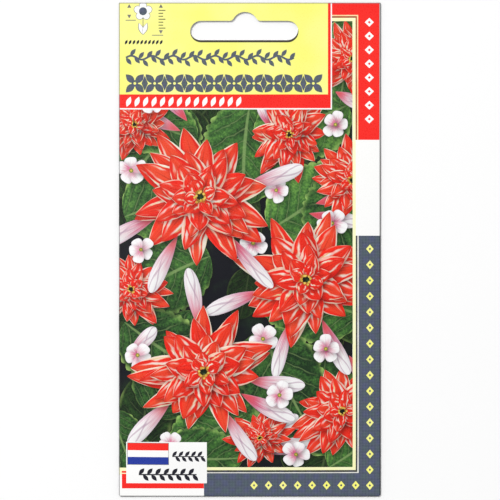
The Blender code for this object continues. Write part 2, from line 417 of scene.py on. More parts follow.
def budInk():  # a furled bud: pink at the foot, white above, with the seams of its rolled petals
    paint, along, side, away, draw, grain = motifPaint("bud")
    look = floretLook
    wobble, hair = grain(*look["budWobble"]) - 0.5, grain(*look["hair"])
    flush = 1 - (along + wobble * 0.3 + (hair - 0.5) * 0.9).ease(0.2, 0.78)
    tint = paint.mix(flush * (0.6 + 0.4 * draw), look["white"], look["pink"])
    tint = paint.mix((1 - along.ease(0.12, 0.42)) * 0.8, tint, look["coral"])
    for slant, start in look["seams"]:
        seam = 1 - abs(side - along * slant + start + wobble * 0.3).ease(0.03, 0.16)
        tint = paint.mix(seam * along.ease(0.3, 0.6) * look["seamDepth"], tint, look["seam"])
    return coat(paint, paint.mix(away.ease(0.55, 1.0) * 0.35, tint, look["mauve"]))


stemLook = {"pale": rgb(160, 168, 70), "dark": rgb(92, 112, 46), "cloud": (0.9, 3.0)}


def stemInk():
    paint = newPaint("stemInk")
    return coat(paint, paint.mix(paint.cloud(*stemLook["cloud"]), stemLook["pale"], stemLook["dark"]))


liningLook = {
    "colours": (rgb(62, 59, 42), rgb(50, 46, 34)),
    "cloud": (0.8, 3.0),
    "roughness": (0.5, 0.1),  # the least, and how much more
    "metal": 0.25,
}


def plainCoat(name, look):  # without ink: the dull grey inner face, and what the packet hides
    paint = newPaint(name)
    cloud = paint.cloud(*look["cloud"])
    least, more = look["roughness"]
    share = cloud.ease(*look["ease"]) if "ease" in look else cloud
    paint.set(Base_Color=paint.mix(share, *look["colours"]), Roughness=least + more * cloud)
    paint.set(Metallic=look.get("metal", 0.0))
    if "bump" in look:
        paint.bump(cloud, *look["bump"])
    return paint.material


inks = {
    "white": flatInk("bareWhite", rgb(255, 255, 254), rgb(254, 254, 252)),
    "yellow": flatInk("yellowInk", rgb(254, 252, 126), rgb(255, 253, 154), 0.05),
    "red": flatInk("redInk", rgb(252, 44, 36), rgb(250, 36, 32)),
    "cream": flatInk("creamInk", rgb(255, 254, 210), rgb(255, 253, 194), 0.2),
    "paleCream": flatInk("paleCreamInk", rgb(254, 226, 176), rgb(252, 214, 160), 0.2),
    "paleLine": flatInk("paleLineInk", rgb(240, 239, 232), rgb(224, 222, 216), 0.2),
    "rust": flatInk("rustInk", rgb(184, 72, 34), rgb(146, 60, 32), 0.3),
    "slate": slateInk("slateInk", rgb(97, 106, 122), rgb(58, 66, 84)),
    "slateGap": slateInk("slateGapInk", rgb(76, 76, 70), rgb(54, 56, 56)),
    "header": slateInk("headerInk", rgb(102, 110, 118), rgb(68, 76, 92)),
    "black": flatInk("blackInk", rgb(30, 30, 42), rgb(40, 40, 50)),
    "blue": flatInk("blueInk", rgb(36, 58, 158), rgb(44, 66, 164)),
    "grey": flatInk("greyInk", rgb(112, 112, 108), rgb(130, 130, 124)),
    "petal": petalInk(),
    "leaf": leafInk(),
    "lobe": lobeInk(),
    "bud": budInk(),
    "ground": flatInk("groundInk", rgb(10, 12, 22), rgb(22, 40, 26), 0.16, 4.0, 0.45, 0.75),
    "stem": stemInk(),
    "pollen": flatInk("pollenInk", rgb(236, 206, 96), rgb(200, 150, 50), 0.8),
    "edge": coat(newPaint("paperEdge"), rgb(236, 234, 226)),
    "lining": plainCoat("lining", liningLook),
}
inkOrder = list(inks)
print("inks mixed")


# The flat blank. Its coordinates are the front panel's x and y, carried on past the creases.

packet = {
    "width": 79.5,
    "height": 150.0,
    "paper": 0.15,
    "plyGap": 0.1,
    "sideFlap": 9.5,
    "sideFlapMitre": 1.2,
    "bottomFlap": 14.5,
    "bottomFlapTaper": 0.35,
    "bottomFlapMitre": 1.0,
    "backClearance": 0.8,
    "bulge": 2.0,
    "squareness": 3,
    "rise": 18.0,
    "fallFrom": -20.0,
    "fallTo": 52.0,
    "ripple": 0.1,  # of the fullness, in soft dents
    "rippleRun": 13.0,
    "rippleBend": (1.3, 1.7, 0.6, 0.8),
    "sinkMargin": 1.0,
    "sinkRun": 11.0,
    "sinkTop": 50.0,
}
flapZ = packet["paper"] / 2
backZ = flapZ + packet["paper"] + packet["plyGap"]
frontZ = backZ + packet["paper"] + packet["plyGap"]
leftRadius = (frontZ - backZ) / 2
wrapRadius = (frontZ - flapZ) / 2
leftArc = math.pi * leftRadius
wrapArc = math.pi * wrapRadius
leftCrease = -packet["width"] / 2 + leftRadius + packet["paper"] / 2
rightCrease = packet["width"] / 2 - wrapRadius - packet["paper"] / 2
bottomCrease = -packet["height"] / 2 + wrapRadius + packet["paper"] / 2
topEdge = packet["height"] / 2
backWidth = rightCrease - packet["backClearance"] - leftCrease
backLeft = leftCrease - leftArc - backWidth  # the blank's two ends
flapRight = rightCrease + wrapArc + packet["sideFlap"]


def smooth(value):
    share = np.clip(value, 0.0, 1.0)
    return share * share * (3 - 2 * share)


def bulge(x, y):
    across = np.abs(2 * (x - leftCrease) / (rightCrease - leftCrease) - 1)
    arch = np.maximum(1 - across ** packet["squareness"], 0)
    rise = smooth((y - bottomCrease) / packet["rise"])
    fall = smooth((packet["fallTo"] - y) / (packet["fallTo"] - packet["fallFrom"]))
    u, v = x / packet["rippleRun"], y / packet["rippleRun"]
    a, b, c, d = packet["rippleBend"]
    dents = np.sin(u + a * np.sin(v / b)) * np.cos(v - c * np.sin(u / d))
    return packet["bulge"] * arch * rise * fall * (1 - packet["ripple"] * (1 + dents))


def sink(x, y):
    runs = [
        x - leftCrease,
        rightCrease - packet["sideFlap"] - packet["sinkMargin"] - x,
        y - bottomCrease - packet["bottomFlap"] - packet["sinkMargin"],
        packet["sinkTop"] - y,
    ]
    drop = backZ - flapZ
    for run in runs:
        drop = drop * smooth(run / packet["sinkRun"])
    return drop


def foldUnder(radius, distance):
    turn = np.minimum(distance / radius, math.pi)
    runBack = np.maximum(distance - math.pi * radius, 0)
    return radius * np.sin(turn) - runBack, frontZ - radius * (1 - np.cos(turn))


def folded(u, v):  # where each point of the blank lies once the packet is folded
    x, y = u.copy(), v.copy()
    z = frontZ + bulge(u, v)
    left, right, below = u < leftCrease, u > rightCrease, v < bottomCrease
    reach, height = foldUnder(leftRadius, leftCrease - u[left])
    x[left] = leftCrease - reach
    z[left] = height - sink(x[left], v[left])
    reach, z[right] = foldUnder(wrapRadius, u[right] - rightCrease)
    x[right] = rightCrease + reach
    reach, z[below] = foldUnder(wrapRadius, bottomCrease - v[below])
    y[below] = bottomCrease - reach
    return np.column_stack([x, y, z])


def blankOutline():
    deep = wrapArc + packet["bottomFlap"]
    side = wrapArc + packet["sideFlap"]
    cut = packet["backClearance"]
    return [
        (leftCrease, bottomCrease),
        (leftCrease + packet["bottomFlapTaper"] * deep, bottomCrease - deep),
        (rightCrease - packet["bottomFlapMitre"] * deep, bottomCrease - deep),
        (rightCrease, bottomCrease),
        (flapRight, bottomCrease + packet["sideFlapMitre"] * side),
        (flapRight, topEdge),
        (backLeft, topEdge),
        (backLeft, bottomCrease + cut),
        (leftCrease - cut, bottomCrease + cut),
    ]


slot = {
    "centre": (-1.65, 66.23),
    "length": 32.9,
    "height": 6.55,
    "riseX": -1.45,
    "riseHalf": 3.8,
    "rise": 2.7,
    "fillet": 1.4,
    "backShift": (-0.12, 0.7),
    "steps": 16,
}


def around(x, y, radius, angle):
    return x + radius * math.cos(angle), y + radius * math.sin(angle)


def arc(x, y, radius, start, end, steps=12):
    return [around(x, y, radius, start + (end - start) * k / steps) for k in range(steps + 1)]


def slotOutline():
    x, y = slot["centre"]
    end = slot["height"] / 2
    out = slot["length"] / 2 - end
    shoulder = y + end
    rise, riseX, fillet = slot["rise"], slot["riseX"], slot["fillet"]
    radius = (slot["riseHalf"] ** 2 + rise**2) / (2 * rise)
    riseY = shoulder + rise - radius
    up = shoulder + fillet - riseY
    apart = math.sqrt((radius + fillet) ** 2 - up**2)
    slope = math.atan2(up, apart)
    quarter = math.pi / 2
    points = arc(x + out, y, end, -quarter, quarter, slot["steps"])
    points += arc(riseX + apart, shoulder + fillet, fillet, -quarter, slope - math.pi)
    points += arc(riseX, riseY, radius, slope, math.pi - slope)[1:-1]
    points += arc(riseX - apart, shoulder + fillet, fillet, -slope, -quarter)
    points += arc(x - out, y, end, quarter, 3 * quarter, slot["steps"])
    return points


def onBack(points):  # from the packet's x and y to the blank's back panel
    return [(2 * leftCrease - leftArc - x, y) for x, y in points]


# What is printed: shapes from the lowest to the topmost, each with its ink

shapes = []


def lay(ink, *outlines, motif=None, dim=1.0):
    for outline in outlines:
        shapes.append({"outline": outline, "ink": ink, "motif": motif, "dim": dim})


def box(left, low, right, high):
    return [(left, low), (right, low), (right, high), (left, high)]


def layBoxes(*boxes):  # each is an ink's name and four sides
    for ink, *sides in boxes:
        lay(ink, box(*sides))


def disc(x, y, radius, steps):
    return arc(x, y, radius, 0, math.tau * (1 - 1 / steps), steps - 1)


def diamond(x, y, wide, high):
    return [(x - wide / 2, y), (x, y - high / 2), (x + wide / 2, y), (x, y + high / 2)]


def axes(angle):  # the directions along and across a heading in degrees
    turn = math.radians(angle)
    return (math.cos(turn), math.sin(turn)), (-math.sin(turn), math.cos(turn))


def mark(x, y, angle, length, half, steps=6):  # a small pointed oval
    ahead, aside = (Vector(axis) for axis in axes(angle))
    lower, upper = [], []
    for k in range(steps + 1):
        share = k / steps
        middle = Vector((x, y)) + ahead * length * share
        out = aside * half * math.sin(math.pi * share)
        lower.append(tuple(middle - out))
        upper.append(tuple(middle + out))
    return lower + upper[-2:0:-1]


def rosette(x, y, length, half):
    return [mark(x, y, 45 + 90 * turn, length, half) for turn in range(4)]


def ribbon(points, half):  # a line of even width through points
    left, right = [], []
    for k, point in enumerate(points):
        before, after = points[max(k - 1, 0)], points[min(k + 1, len(points) - 1)]
        run = Vector((after[0] - before[0], after[1] - before[1])).normalized()
        side = Vector((-run.y, run.x)) * half
        left.append((point[0] + side.x, point[1] + side.y))
        right.append((point[0] - side.x, point[1] - side.y))
    return right + left[::-1]


def newMotif(x, y, angle, length, half, bend, draw):
    return {"x": x, "y": y, "angle": angle, "length": length, "half": half, "bend": bend, "draw": draw}


def motifPoint(motif, along, across):
    ahead, aside = axes(motif["angle"])
    far = along * motif["length"]
    off = motif["bend"] * motif["length"] * along**2 + across * motif["half"]
    return motif["x"] + ahead[0] * far + aside[0] * off, motif["y"] + ahead[1] * far + aside[1] * off


def motifShares(motif, points):
    ahead, aside = np.array(axes(motif["angle"]))
    offset = points - (motif["x"], motif["y"])
    along = offset @ ahead / motif["length"]
    across = (offset @ aside - motif["bend"] * motif["length"] * along**2) / motif["half"]
    return np.column_stack([along, across, np.full(len(points), motif["draw"])])


def layMotif(ink, motif, steps, scallops=0, depth=0.0, dim=1.0):
    lower, upper = [], []
    for k in range(steps + 1):
        share = (1 - math.cos(math.pi * k / steps)) / 2
        notch = 1 - depth * (1 - abs(math.sin(math.pi * scallops * share)))
        wide = formWidth(ink, share) * notch
        lower.append(motifPoint(motif, share, -wide))
        upper.append(motifPoint(motif, share, wide))
    lay(ink, lower + upper[-2:0:-1], motif=motif, dim=dim)


# The picture: scarlet star blossoms with pale edges, white florets and scalloped leaves

picture = {
    "left": -39.75,
    "right": 31.12,
    "low": -66.15,
    "high": 69.55,
    "clear": 42.57,  # the header covers it from here up
    "seed": 11,
    "deepLeaves": 46,
    "deepLengths": (14, 24),
    "deepHalf": 0.36,  # of the length
    "deepBend": 0.1,
    "deepDim": (0.16, 0.42),
    "leaves": [
        # base x, base y, angle, length, half width, bend
        (-30, -50, 60, 34, 13, 0.1), (30, -60, 128, 36, 14, -0.1), (-6, -64, 100, 28, 12, 0.08),
        (34, -20, 160, 32, 13, 0.12), (-38, 10, 20, 32, 13, -0.1), (0, 44, -100, 30, 13, 0.12),
        (30, 44, 205, 30, 12, -0.1), (-12, -2, 200, 28, 12, 0.14), (6, 6, 30, 30, 12, 0.1),
        (-38, -22, -38, 32, 12, 0.1), (4, -24, -72, 32, 13, 0.12), (33, 22, -120, 28, 12, 0.1),
        (-20, 44, -120, 28, 12, -0.12), (-2, -50, 205, 26, 11, 0.1), (33, 70, -108, 26, 10, 0.1),
        (-28, -62, -10, 26, 10, 0.14), (24, -66, 30, 20, 9, 0.1), (-40, 44, -30, 26, 10, 0.1),
        (-42, -49, -74, 22, 8, 0.1),
    ],
    "scallops": (12, 0.09),  # how many on a leaf's side, and how deep
    "buds": [
        # x, y, angle, length, half width
        (-21, 36, 155, 17, 2.5), (-19, 39, 128, 14, 2.2), (6, 37, 104, 9, 2.1),
        (30, -32, -60, 16, 2.6), (20, 14, 12, 15, 2.5), (18, 11, -14, 16, 2.4),
        (2, -61, 6, 18, 2.5), (3, -58, 30, 14, 2.2), (-37, -32, 40, 12, 2.2),
        (26, 48, -30, 10, 2.1),
    ],
    "budBend": 0.07,
    "smallBlossoms": [
        # x, y, radius, foreshortening, its angle
        (-35, 38, 12, 0.8, 30), (12, 35, 15, 0.75, 75), (31, 58, 13, 0.85, 10),
        (-36, -12, 14, 0.8, -20), (28, -49, 16, 0.8, 40), (3, -57, 10, 0.8, 10),
        (31, 21, 14, 0.8, -50),
    ],
    "lowFlorets": [
        # x, y, radius
        (1, 2, 4.6), (4, -27, 4.6), (-36, 24, 4.6), (25, 8, 4.4), (-34, -32, 4.4), (8, 18, 4.0),
    ],
    "largeBlossoms": [(17, -9, 21, 0.86, 20), (-15, 16, 22, 0.84, -30), (-14, -37, 21, 0.82, 15)],
    # buds that stand out from under each large blossom, by their headings
    "sprays": [(196, 250, 292), (204, 240, 306, 14), (222, -10, -30, -62, 96)],
    "sprayFrom": 0.62,  # of the blossom's radius
    "sprayLength": 0.92,
    "sprayHalf": 0.11,
    "florets": [
        (-30, 45, 3.8), (9, -44, 4.4), (23, -30, 4.2), (-24, -59, 4.0), (26, 38, 4.0),
        (-33, 0, 4.0), (14, -62, 4.2),
    ],
}


def drawDeepLeaves(draw):  # dim leaves down among the stems
    bend = picture["deepBend"]
    for _ in range(picture["deepLeaves"]):
        x = draw.uniform(picture["left"], picture["right"])
        y = draw.uniform(picture["low"], picture["high"])
        length = draw.uniform(*picture["deepLengths"])
        half = length * picture["deepHalf"]
        leaf = newMotif(x, y, draw.uniform(0, 360), length, half, draw.uniform(-bend, bend), draw.random())
        layMotif("leaf", leaf, 16, dim=draw.uniform(*picture["deepDim"]))


def drawLeaf(draw, *place):
    layMotif("leaf", newMotif(*place, draw.random()), 66, *picture["scallops"])


def drawBud(draw, *place):
    layMotif("bud", newMotif(*place, picture["budBend"], draw.random()), 14)


def drawSpray(draw, x, y, radius, headings):
    for heading in headings:
        length = radius * picture["sprayLength"] * draw.uniform(0.92, 1.08)
        half = radius * picture["sprayHalf"] * draw.uniform(0.9, 1.1)
        foot = around(x, y, radius * picture["sprayFrom"], math.radians(heading))
        drawBud(draw, *foot, heading, length, half)


blossom = {
    "rings": [
        # petals, reach, half width, least and most of the petals' own number
        (11, 1.00, 0.17, 0.3, 1.0),
        (10, 0.86, 0.17, 0.2, 1.0),
        (9, 0.7, 0.165, 0.0, 0.9),
        (7, 0.53, 0.15, 0.0, 0.7),
        (6, 0.36, 0.13, 0.0, 0.5),
        (4, 0.22, 0.1, 0.0, 0.4),
    ],
    "stray": 10,  # degrees
    "lengths": (0.86, 1.12),
    "widths": (0.85, 1.2),
    "bend": 0.2,
    "foot": 0.05,  # of the radius, as are the pollen's size and place
    "pollen": 9,
    "pollenSize": 0.018,
    "pollenAway": 0.075,
    "pollenSpread": (0.6, 1.2),
}


def drawBlossom(draw, x, y, radius, squash, tilt):
    (cosine, sine), _ = axes(tilt)
    turn, stray, foot = math.radians(tilt), blossom["stray"], radius * blossom["foot"]
    for number, reach, half, least, most in blossom["rings"]:
        start = draw.uniform(0, 360)
        for k in range(number):
            angle = math.radians(start + 360 * k / number + draw.uniform(-stray, stray))
            ahead, aside = math.cos(angle - turn), math.sin(angle - turn) * squash
            dx, dy = ahead * cosine - aside * sine, ahead * sine + aside * cosine
            length = radius * reach * math.hypot(dx, dy) * draw.uniform(*blossom["lengths"])
            heading = math.degrees(math.atan2(dy, dx))
            wide = radius * half * draw.uniform(*blossom["widths"])
            bend = draw.uniform(-blossom["bend"], blossom["bend"])
            own = draw.uniform(least, most)
            layMotif("petal", newMotif(x + dx * foot, y + dy * foot, heading, length, wide, bend, own), 13)
    for k in range(blossom["pollen"]):
        angle = math.tau * k / blossom["pollen"] + draw.uniform(-0.3, 0.3)
        away = radius * blossom["pollenAway"] * draw.uniform(*blossom["pollenSpread"])
        lay("pollen", disc(*around(x, y, away, angle), radius * blossom["pollenSize"], 8))


floret = {
    "lobes": 5,
    "stray": 6,
    "lengths": (0.85, 1.1),
    "half": 0.42,
    "bend": 0.08,
    "heart": 0.15,
    "eye": 0.07,
}


def drawFloret(draw, x, y, radius):
    start = draw.uniform(0, 360)
    for k in range(floret["lobes"]):
        angle = start + 360 / floret["lobes"] * k + draw.uniform(-floret["stray"], floret["stray"])
        length = radius * draw.uniform(*floret["lengths"])
        bend = draw.uniform(-floret["bend"], floret["bend"])
        layMotif("lobe", newMotif(x, y, angle, length, radius * floret["half"], bend, draw.random()), 11)
    lay("stem", disc(x, y, radius * floret["heart"], 10))
    lay("pollen", disc(x, y, radius * floret["eye"], 8))


def drawPicture():
    draw, sprayDraw = random.Random(picture["seed"]), random.Random(picture["seed"] + 1)
    layBoxes(("ground", picture["left"] - 1, picture["low"], picture["right"], picture["high"]))
    drawDeepLeaves(draw)
    for kind, drawOne in (
        ("leaves", drawLeaf),
        ("buds", drawBud),
        ("smallBlossoms", drawBlossom),
        ("lowFlorets", drawFloret),
    ):
        for place in picture[kind]:
            drawOne(draw, *place)
    for place, headings in zip(picture["largeBlossoms"], picture["sprays"]):
        drawSpray(sprayDraw, *place[:3], headings)
        drawBlossom(draw, *place)
    for place in picture["florets"]:
        drawFloret(draw, *place)


# The panels and lines round the picture

panels = [
    # ink, left, low, right, high
    ("white", -41.9, 42.57, 24.97, 76),
    ("red", -41.9, 42.98, 24.58, 76),
    ("yellow", -41.9, 47.15, 23.75, 76),
    # over and right of the picture, from the outside in
    ("red", 24.97, 71.3, 39.9, 76),
    ("red", 32.94, 33.34, 39.9, 76),
    ("paleCream", 24.97, 70.91, 32.94, 71.3),
    ("paleCream", 32.52, 33.34, 32.94, 71.3),
    ("rust", 24.97, 70.42, 32.52, 70.91),
    ("rust", 32.14, 33.34, 32.52, 70.91),
    ("white", 32.14, 4.24, 39.9, 33.34),
    ("white", 39.38, 33.34, 41.9, 76),
    # under the picture, and right of its lower half
    ("slate", 33.05, -77, 41.9, 4.24),
    ("slate", -13.95, -77, 39.9, -67.78),
    ("paleLine", 32.62, -67.78, 33.05, 4.24),
    ("paleLine", -41.9, -67.78, 33.05, -67.47),
    ("slateGap", 32.14, -67.47, 32.62, 4.24),
    ("slateGap", -41.9, -67.47, 32.14, -66.85),
    ("cream", 31.19, -66.85, 32.14, 70.42),
    ("cream", 24.97, 69.4, 32.14, 70.42),
    ("cream", -37.5, -66.85, 32.14, -65.93),
    # the corner, with its box and its striped badge
    ("white", -40.9, -76.0, -13.9, -67.07),
    ("cream", -40.9, -68.3, -37.5, -66.18),
    ("red", -38.87, -67.76, -37.5, -67.18),
    ("red", -38.83, -72.49, -37.4, -68.05),
    ("red", -38.83, -72.49, -13.93, -70.7),
    ("white", -37.5, -70.9, -13.0, -58.27),
    ("grey", -37.19, -65.27, -24.51, -58.52),
    ("white", -37.05, -65.13, -24.65, -58.66),
    ("red", -37.05, -60.83, -24.65, -58.66),
    ("blue", -37.05, -65.13, -24.65, -62.87),
]
sprigs = [
    # x, y, length, pairs of leaves, their length and half width, half the stem's width
    (-23.5, -62.65, 9.6, 5, 2.2, 0.5, 0.15),
    (-33.7, -68.25, 17.6, 7, 2.6, 0.62, 0.2),
]


def drawPanels():
    layBoxes(*panels)
    for x, y, length, pairs, leaf, half, stem in sprigs:
        lay("black", ribbon([(x + length * k / 12, y) for k in range(13)], stem))
        for k in range(pairs):
            lay("black", mark(x + length / pairs * k, y, 48, leaf, half))
            lay("black", mark(x + length / pairs * (k + 0.5), y, -48, leaf, half))


header = {
    # x, y, length and number of steps, rosettes or marks; a mark is its angle, length and half width
    "garland": (-37.6, 58.3, 51.0, 80),
    "wave": (0.6, 8),  # height and number
    "stem": 0.3,
    "leaf": (52, 2.7, 0.62),
    "rosettes": (-34.9, 50.5, 54.2, 10),
    "petal": (3.9, 1.05),
    "heart": 1.0,
    "eye": 0.42,
    "between": (2.0, 4.6),
    "strip": (-37.4, 43.4, 36.0, 14),
    "stripMark": (68, 3.3, 0.74),
    "small": (-37.9, 62.3, 11.8, 10),
    "smallMark": (62, 1.6, 0.36),
}


def drawHeader():
    x, y, length, steps = header["garland"]
    high, waves = header["wave"]
    angle, leaf, half = header["leaf"]
    turn = math.tau * waves / steps
    wave = [(x + length * k / steps, y + high * math.sin(k * turn)) for k in range(steps + 1)]
    lay("header", ribbon(wave, header["stem"]))
    for k in range(0, steps - 1, 2):
        lay("header", mark(*wave[k], angle if k % 4 else -angle, leaf, half))
    x, y, length, count = header["rosettes"]
    step = length / (count - 1)
    for k in range(count):
        middle = x + step * k
        lay("header", *rosette(middle, y, *header["petal"]), disc(middle, y, header["heart"], 14))
        lay("yellow", disc(middle, y, header["eye"], 12))
        if k < count - 1:
            lay("header", diamond(middle + step / 2, y, *header["between"]))
    for row, ink in (("strip", "white"), ("small", "black")):
        x, y, length, count = header[row]
        for k in range(count):
            lay(ink, mark(x + length * k / count, y, *header[row + "Mark"]))


beads = {
    "rows": [
        # ink, eye, x, y, the step to the next in x and y, number, width
        ("white", "red", 36.3, 69.07, 0.0, -4.2, 8, 2.8),
        ("yellow", "slate", 36.45, 0.22, 0.0, -4.787, 16, 2.3),
        ("yellow", "slate", 1.29, -71.53, 4.41, 0.0, 8, 2.3),
    ],
    "high": 2.7,
    "eye": 0.32,
}


def drawBeads():
    for ink, eye, x, y, dx, dy, count, wide in beads["rows"]:
        for k in range(count):
            for share, shade in ((1.0, ink), (beads["eye"], eye)):
                lay(shade, diamond(x + dx * k, y + dy * k, wide * share, beads["high"] * share))


pictogram = {
    "x": -32.42,
    "y": 72.4,
    "petals": 5,
    "petal": 1.06,
    "away": 1.7,
    "eye": 1.22,
    "line": 0.14,
    "foot": 65.3,
    "stem": 0.11,
    "leafPlace": (0.04, 65.35),  # from the stem, and y
    "leaf": (20, 3.7, 0.62),  # lean, length and half width
    "arrows": ((-36.6, 74.0, 1), (-36.6, 70.8, -1), (-27.0, 74.0, 1), (-27.0, 66.1, -1)),
    "arrow": (0.62, 0.55, 0.6),  # half width, and how far it reaches down and up
    "rules": ((-37.7, 69.55, -34.6, 69.79), (-29.7, 65.0, -26.3, 65.24)),
    "ticks": (-27.7, 67.15, 0.9, 0.25, 7),  # x, y, pitch, thickness and number
    "tickEnds": (-25.6, -26.3, -26.3),
}


def drawPictogram():
    g = pictogram
    x, y = g["x"], g["y"]
    tones = ((g["line"], "grey"), (0.0, "white"))
    lay("grey", ribbon([(x, y), (x, g["foot"])], g["stem"]))
    aside, foot = g["leafPlace"]
    lean, length, half = g["leaf"]
    for side in (-1, 1):
        for grow, ink in tones:
            lay(ink, mark(x - side * aside, foot - grow, 90 - side * lean, length + 2 * grow, half + grow))
    for grow, ink in tones:
        for k in range(g["petals"]):
            angle = math.radians(90 + 360 / g["petals"] * k)
            lay(ink, disc(*around(x, y, g["away"], angle), g["petal"] + grow, 16))
    lay("slate", disc(x, y, g["eye"], 18))
    wide, down, up = g["arrow"]
    for x, y, way in g["arrows"]:
        lay("grey", [(x - wide, y - way * down), (x + wide, y - way * down), (x, y + way * up)])
    lay("grey", *[box(*rule) for rule in g["rules"]])
    x, y, pitch, thick, count = g["ticks"]
    for k in range(count):
        low = y + pitch * k
        lay("black", box(x, low, g["tickEnds"][k % 3], low + thick))


backPrint = {
    "bare": [
        # where the front's print ends, past the left, right and bottom folds
        ("white", -150, -150, -40.3, 150),
        ("white", 41.0, -150, 150, 150),
        ("white", -150, -150, 150, -76.4),
    ],
    "frame": [
        ("slate", -36.5, -54.0, 26.5, 55.0),
        ("white", -36.15, -53.65, 26.15, 54.65),
        ("yellow", -36.15, 41.0, 26.15, 54.65),
    ],
    "rosettes": (-28.5, 47.8, 7.8, 7),  # x, y, pitch and number
    "petal": (2.6, 0.7),
    "boxes": (-32.0, 20.0, 4.5, 4.0, 9.0),  # x, y, pitch, width and height
    "boxLine": 0.15,
    "boxInks": 2 * ["paleCream"] + 3 * ["red"] + 4 * ["yellow"] + 3 * ["paleCream"],
    "rows": (-32.0, 12.0, 3.6, 14),  # x, y, pitch and number
    "row": (22.0, 0.3),  # where the longest ends, and thickness
}


def drawBack():
    b = backPrint
    layBoxes(*b["bare"])
    for ink, *sides in b["frame"]:
        lay(ink, onBack(box(*sides)))
    x, y, pitch, count = b["rosettes"]
    for k in range(count):
        lay("header", *[onBack(petal) for petal in rosette(x + pitch * k, y, *b["petal"])])
    x, y, pitch, wide, tall = b["boxes"]
    line = b["boxLine"]
    for k, ink in enumerate(b["boxInks"]):
        left = x + pitch * k
        lay("grey", onBack(box(left, y, left + wide, y + tall)))
        lay(ink, onBack(box(left + line, y + line, left + wide - line, y + tall - line)))
    x, high, pitch, count = b["rows"]
    right, thick = b["row"]
    for k in range(count):
        y = high - pitch * k
        lay("grey", onBack(box(x, y, right - (k * 7) % 11, y + thick)))


drawPicture()
drawPanels()
drawHeader()
drawBeads()
drawPictogram()
drawBack()
print("print laid out:", len(shapes), "shapes")


# The blank cut into triangles along every outline and crease

mesh = {
    "pictureStep": 1.3,
    "otherStep": 3.6,
    "flapStep": 4.0,
    "foldSteps": 6,
    "merge": 0.00001,
    "shadowShift": (0.35, -0.55),
    "shadowReach": 1.5,
    "shadowInside": 0.3,  # of the reach
    "shadowDepth": 0.42,
    "darkest": 0.05,
    # painted shade on the right and bottom folds
    "foldShade": 0.86,
    "foldEnd": 1.01,  # of a fold's arc
    "bottomLag": 0.06,
    "edgeShadeWidth": 0.34,
    "leftEdgeShade": (1.5, 0.75),  # growth over the painted shade's width, and stage at the crease
    "topEdgeShade": 0.44,
    "lightAway": (-0.7, 0.7),
    "sharpAngle": 50,
    "keel": {"petal": 0.24, "leaf": 0.3, "lobe": 0.1, "bud": 0.24},
}


def counterclockwise(points):
    area = sum(a[0] * b[1] - b[0] * a[1] for a, b in zip(points, points[1:] + points[:1]))
    return points if area > 0 else points[::-1]


def fillGrid(left, low, right, high, step):
    columns, rows = int((right - left) / step), int((high - low) / step)
    return [
        (left + (column + 0.5 * (row % 2)) * (right - left) / columns, low + row * (high - low) / rows)
        for row in range(1, rows)
        for column in range(1, columns)
    ]


def creaseLines():
    def upright(x):
        return (x, bottomCrease), (x, topEdge)

    def level(y):
        return (leftCrease, y), (rightCrease, y)

    lines = []
    for k in range(mesh["foldSteps"] + 1):
        share = k / mesh["foldSteps"]
        lines += [upright(leftCrease - leftArc * share), upright(rightCrease + wrapArc * share)]
        lines.append(level(bottomCrease - wrapArc * share))
    # where the painted shade at the top edge begins, and lines beside the creases where the painted fold
    # shade begins
    edgeShadeLine, inset = topEdge - mesh["topEdgeShade"], mesh["edgeShadeWidth"] / 2
    lines.append(((backLeft, edgeShadeLine), (flapRight, edgeShadeLine)))
    return lines + [upright(leftCrease + inset), upright(rightCrease - inset), level(bottomCrease + inset)]


def cutBlank():
    across, up = slot["backShift"]
    backSlot = onBack([(x + across, y + up) for x, y in slotOutline()])
    points, faces, edges = [], [], []
    for loop in [blankOutline(), slotOutline(), backSlot] + [shape["outline"] for shape in shapes]:
        faces.append(list(range(len(points), len(points) + len(loop))))
        points += counterclockwise(loop)
    for start, end in creaseLines():
        edges.append((len(points), len(points) + 1))
        points += [start, end]
    front, other = picture["right"], mesh["otherStep"]
    for zone in (
        (leftCrease, picture["low"], front, picture["clear"], mesh["pictureStep"]),
        (front, bottomCrease, rightCrease, topEdge, other),
        (leftCrease, picture["clear"], front, topEdge, other),
        (leftCrease, bottomCrease, front, picture["low"], other),
        (backLeft, bottomCrease, leftCrease - leftArc, topEdge, other),
        (rightCrease + wrapArc, bottomCrease, flapRight, topEdge, mesh["flapStep"]),
    ):
        points += fillGrid(*zone)
    flat = [Vector(point) for point in points]
    verts, _, triangles, _, _, origins = delaunay_2d_cdt(flat, edges, faces, 0, mesh["merge"], True)
    kept, owners = [], []
    for triangle, ids in zip(triangles, origins):
        if 0 in ids and 1 not in ids and 2 not in ids:
            kept.append(triangle)
            owners.append(max(ids) - 3)
    used, corners = np.unique(kept, return_inverse=True)
    return np.array(verts, float)[used], corners.reshape(-1, 3), np.array(owners)


def dropHidden():  # shapes with nothing left to see would only add triangles
    seen = set(cutBlank()[2].tolist())
    shapes[:] = [shape for number, shape in enumerate(shapes) if number in seen]
    print("shapes in sight:", len(shapes))


def outlineDistance(points, outline):  # signed distance to a closed outline, negative inside
    best = np.full(len(points), 1e9)
    inside = np.zeros(len(points), bool)
    x, y = points.T
    for (ax, ay), (bx, by) in zip(outline, np.roll(outline, -1, axis=0)):
        dx, dy = bx - ax, by - ay
        share = np.clip(((x - ax) * dx + (y - ay) * dy) / max(dx * dx + dy * dy, 1e-12), 0, 1)
        best = np.minimum(best, np.hypot(x - ax - share * dx, y - ay - share * dy))
        if dy:
            inside ^= ((ay > y) != (by > y)) & (x < ax + (y - ay) * dx / dy)
    return np.where(inside, -best, best)


